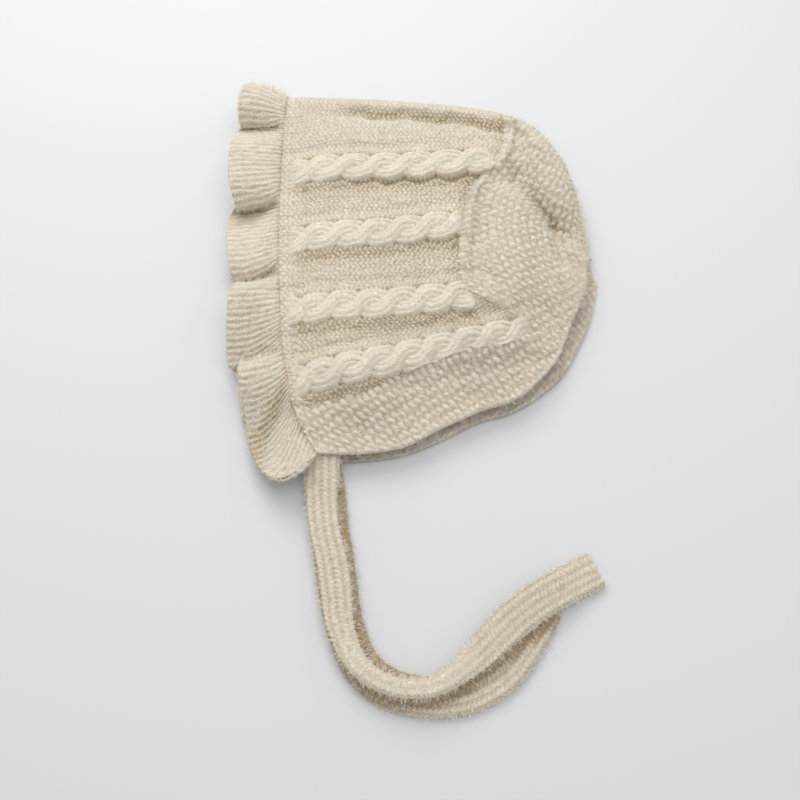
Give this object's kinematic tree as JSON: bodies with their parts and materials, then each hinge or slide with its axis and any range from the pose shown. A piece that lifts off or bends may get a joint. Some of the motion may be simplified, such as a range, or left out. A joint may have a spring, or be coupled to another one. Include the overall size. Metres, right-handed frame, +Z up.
{
  "type": "baby bonnet",
  "caption": "Knitted baby bonnet lying folded flat on its side, with rope cables, a garter-stitch back, a gathered ribbed ruffle round the face and flat knitted ties.",
  "frame": {"origin": "on the surface it lies on, under the middle of the bonnet's box without the ties", "axes": "+Z up from the surface, +Y from the neck edge to the crown fold, -X towards the face edge and its ruffle"},
  "size_m": [0.1938, 0.3284, 0.0285],
  "materials": {
    "cable_knit": "cream knit, purl side out with rope cables, soft and slightly fuzzy",
    "garter_knit": "cream garter stitch, bumpy ridges, soft and slightly fuzzy",
    "ruffle_rib": "cream fine rib with a rolled free edge, soft",
    "tie_knit": "cream flat knit, stitch columns along its length"
  },
  "bodies": {
    "root": {"cable_panel": "cable_knit", "garter_back": "garter_knit", "ruffle": "ruffle_rib", "tie_upper": "tie_knit", "tie_lower": "tie_knit"}
  },
  "joints": []
}
